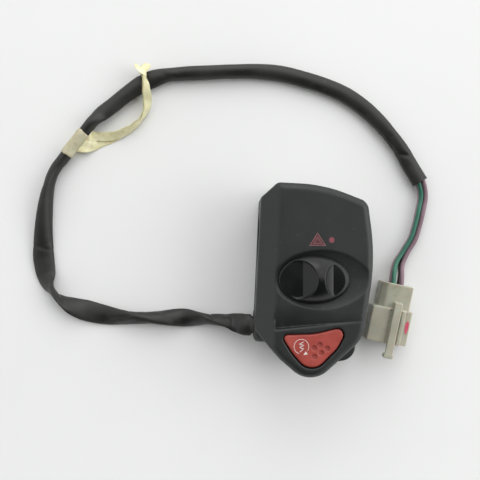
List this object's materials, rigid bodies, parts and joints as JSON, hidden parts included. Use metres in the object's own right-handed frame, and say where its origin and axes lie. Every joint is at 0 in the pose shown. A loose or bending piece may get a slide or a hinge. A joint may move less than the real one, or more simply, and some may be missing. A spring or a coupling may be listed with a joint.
{
  "type": "handlebar switch cluster",
  "caption": "Two-piece plastic handlebar housing with a thumb slide, a pointed start button and a sleeved harness that ends in a latching connector.",
  "frame": {"origin": "on the handlebar's axis, in the middle of the clamp, in the plane where the two covers meet", "axes": "+X along the handlebar, to the right as the face is seen; +Y up the face, away from the start button; +Z out of the face"},
  "size_m": [0.178, 0.1354, 0.0434],
  "materials": {
    "cover_plastic": "fine grain",
    "rear_plastic": "fine grain",
    "knob_plastic": "gloss",
    "button_plastic": "satin",
    "carrier_plastic": "satin",
    "insulator": "satin",
    "contact_brass": "satin",
    "spring_steel": "bright",
    "screw_steel": "zinc plated",
    "grommet_rubber": "matt",
    "sleeve_vinyl": "satin, creased",
    "green_vinyl": "satin",
    "violet_vinyl": "satin",
    "black_vinyl": "satin",
    "mauve_vinyl": "satin",
    "nylon": "translucent satin",
    "masking_tape": "creped"
  },
  "bodies": {
    "housing": {"front_cover": "cover_plastic", "rear_cover": "rear_plastic", "housing_screws": "screw_steel", "cable_grommet": "grommet_rubber", "slide_base": "insulator", "slide_contacts": "contact_brass", "slide_base_screws": "screw_steel", "button_block": "insulator", "button_contacts": "contact_brass", "button_block_screws": "screw_steel", "button_spring": "spring_steel", "inner_leads": "black_vinyl", "cable_sleeve": "sleeve_vinyl", "green_wire": "green_vinyl", "violet_wire": "violet_vinyl", "black_wire": "black_vinyl", "mauve_wire": "mauve_vinyl", "connector_housing": "nylon", "connector_terminals": "contact_brass", "tape_band": "masking_tape", "tape_tail": "masking_tape"},
    "slide": {"slide_knob": "knob_plastic", "slide_carrier": "carrier_plastic", "knob_screw": "screw_steel", "slide_bridge": "contact_brass", "slide_bridge_springs": "spring_steel", "detent_ball": "spring_steel", "detent_spring": "spring_steel"},
    "button": {"start_button": "button_plastic", "button_bridge": "contact_brass", "bridge_clip": "spring_steel"}
  },
  "joints": [
    {"name": "hazard_slide", "type": "slide", "parent": "housing", "child": "slide", "axis": [1, 0, 0], "range_m": [0, 0.006]},
    {"name": "start_push", "type": "slide", "parent": "housing", "child": "button", "axis": [0, 0, -1], "range_m": [0, 0.0025], "stiffness_N_per_m": 900, "springref_m": -0.0012, "deforming": ["button_spring"]}
  ]
}
